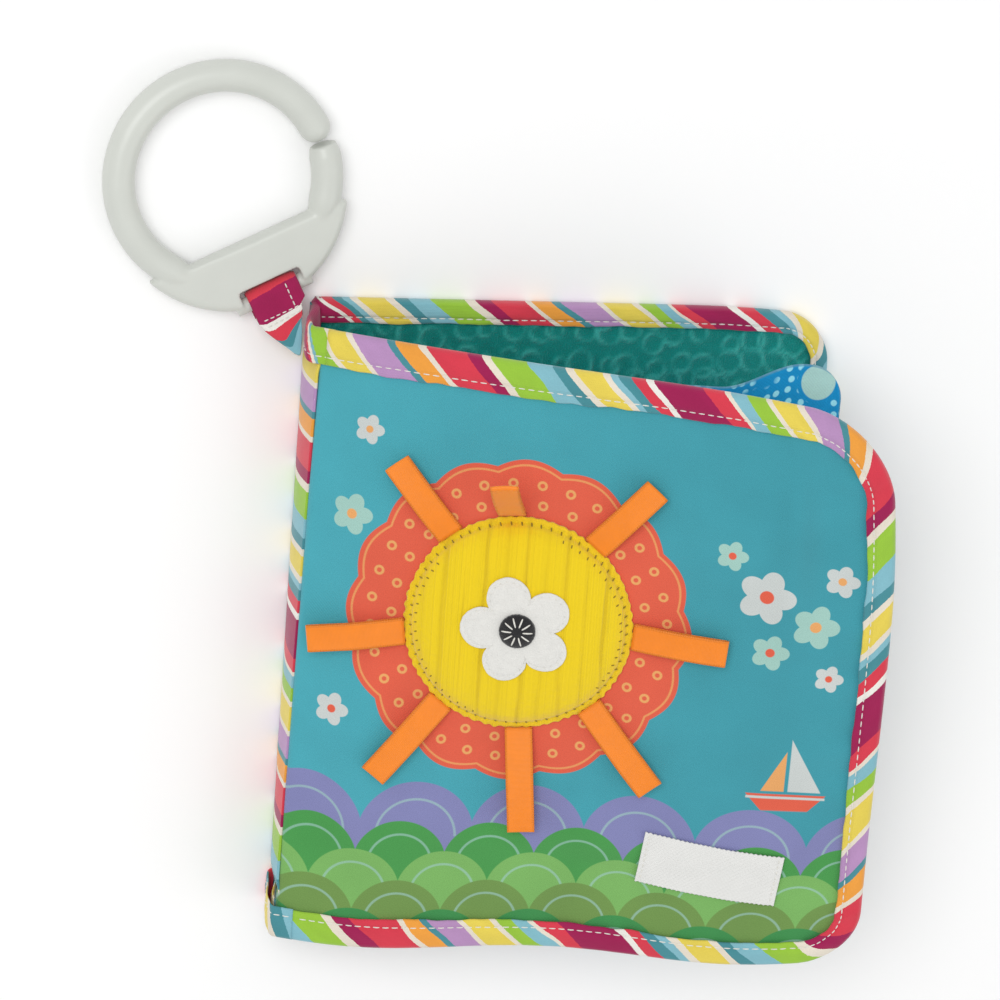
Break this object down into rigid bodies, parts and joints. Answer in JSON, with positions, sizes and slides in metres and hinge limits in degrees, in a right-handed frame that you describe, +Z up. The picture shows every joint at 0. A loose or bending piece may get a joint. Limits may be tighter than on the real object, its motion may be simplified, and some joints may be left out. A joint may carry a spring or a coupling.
{
  "type": "crinkle cloth book",
  "caption": "Soft cloth book with padded crinkle covers, a cloth leaf, ribbon tabs round a padded patch, striped bindings and a plastic link ring on a strap.",
  "frame": {"origin": "on the outer face of the back cover, midway along the front cover and half the book's width in from the spine", "axes": "+X from the spine to the fore edge, +Y to the head of the book, +Z up through the book lying on its back cover"},
  "size_m": [0.2013, 0.23, 0.0668],
  "materials": {
    "printed_cloth": "printed plain weave cotton",
    "embossed_plush": "short plush with pressed rings",
    "crinkle_film": "thin crackling film",
    "wadding": "soft polyester wadding",
    "inner_cloth": "plain weave cotton",
    "striped_tape": "striped bias tape, topstitched",
    "dotted_cloth": "dotted plain weave cotton",
    "ribbed_plush": "short ribbed plush",
    "felt": "pressed felt",
    "black_felt": "pressed felt",
    "satin_ribbon": "satin with woven edges",
    "woven_label": "dense satin weave",
    "ring_plastic": "satin moulded plastic"
  },
  "bodies": {
    "back_cover": {"back_cover_outer": "printed_cloth", "back_cover_wadding": "wadding", "back_cover_crinkle_film": "crinkle_film", "back_cover_plush": "embossed_plush", "back_cover_binding": "striped_tape", "spine_strip": "striped_tape", "spine_lining": "inner_cloth", "spine_head_cap": "striped_tape", "spine_tail_cap": "striped_tape"},
    "front_cover": {"front_cover_panel": "printed_cloth", "front_cover_wadding": "wadding", "front_cover_crinkle_film": "crinkle_film", "front_cover_lining": "inner_cloth", "front_cover_binding": "striped_tape", "round_patch": "ribbed_plush", "patch_filling": "wadding", "felt_blossom": "felt", "blossom_centre": "black_felt", "sewn_label": "woven_label"},
    "leaf": {"leaf_front_face": "dotted_cloth", "leaf_crinkle_film": "crinkle_film", "leaf_back_face": "dotted_cloth"},
    "strap": {"strap_loop": "striped_tape"},
    "ring": {"link_ring": "ring_plastic"},
    "ribbon_1": {"ribbon_tab_1": "satin_ribbon"},
    "ribbon_2": {"ribbon_tab_2": "satin_ribbon"},
    "ribbon_3": {"ribbon_tab_3": "satin_ribbon"},
    "ribbon_4": {"ribbon_tab_4": "satin_ribbon"},
    "ribbon_5": {"ribbon_tab_5": "satin_ribbon"},
    "ribbon_6": {"ribbon_tab_6": "satin_ribbon"},
    "ribbon_7": {"ribbon_tab_7": "satin_ribbon"},
    "ribbon_8": {"ribbon_tab_8": "satin_ribbon"}
  },
  "joints": [
    {"name": "front_cover_turn", "type": "hinge", "parent": "back_cover", "child": "front_cover", "pos_m": [-0.0725, 0, 0.0205], "axis": [0, -1, 0], "range_deg": [-10, 148]},
    {"name": "leaf_turn", "type": "hinge", "parent": "back_cover", "child": "leaf", "pos_m": [-0.0699, 0, 0.0114], "axis": [0, -1, 0], "range_deg": [-4.75, 69.6]},
    {"name": "strap_swing", "type": "hinge", "parent": "back_cover", "child": "strap", "pos_m": [-0.0762, 0.073, 0.01045], "axis": [0.9532, 0.3024, 0], "range_deg": [0, 20]},
    {"name": "ring_swing", "type": "hinge", "parent": "strap", "child": "ring", "pos_m": [-0.08037, 0.08615, 0.004], "axis": [0.8934, 0.4493, 0], "range_deg": [0, 45]},
    {"name": "ribbon_1_lift", "type": "hinge", "parent": "front_cover", "child": "ribbon_1", "pos_m": [-0.02271, 0.03972, 0.03842], "axis": [0.9495, 0.104, 0.2961], "range_deg": [-52, 20]},
    {"name": "ribbon_2_lift", "type": "hinge", "parent": "front_cover", "child": "ribbon_2", "pos_m": [-0.03757, 0.03332, 0.03378], "axis": [0.7401, 0.6282, 0.2401], "range_deg": [0, 75]},
    {"name": "ribbon_3_lift", "type": "hinge", "parent": "front_cover", "child": "ribbon_3", "pos_m": [-0.04726, 0.00604, 0.03035], "axis": [-0.139, 0.9901, -0.0214], "range_deg": [0, 75]},
    {"name": "ribbon_4_lift", "type": "hinge", "parent": "front_cover", "child": "ribbon_4", "pos_m": [-0.0368, -0.01236, 0.03284], "axis": [-0.7718, 0.6061, -0.1924], "range_deg": [0, 75]},
    {"name": "ribbon_5_lift", "type": "hinge", "parent": "front_cover", "child": "ribbon_5", "pos_m": [-0.01654, -0.01803, 0.03805], "axis": [-0.961, -0.0992, -0.258], "range_deg": [0, 75]},
    {"name": "ribbon_6_lift", "type": "hinge", "parent": "front_cover", "child": "ribbon_6", "pos_m": [0.00067, -0.01067, 0.04301], "axis": [-0.7258, -0.6475, -0.2322], "range_deg": [0, 75]},
    {"name": "ribbon_7_lift", "type": "hinge", "parent": "front_cover", "child": "ribbon_7", "pos_m": [0.00985, 0.00975, 0.04675], "axis": [-0.0463, -0.9962, -0.0737], "range_deg": [0, 75]},
    {"name": "ribbon_8_lift", "type": "hinge", "parent": "front_cover", "child": "ribbon_8", "pos_m": [-0.00156, 0.0333, 0.0447], "axis": [0.7432, -0.6407, 0.1926], "range_deg": [0, 75]}
  ],
  "couplings": [
    {"joint": "leaf_turn", "follows": "front_cover_turn", "ratio": 0.47}
  ]
}
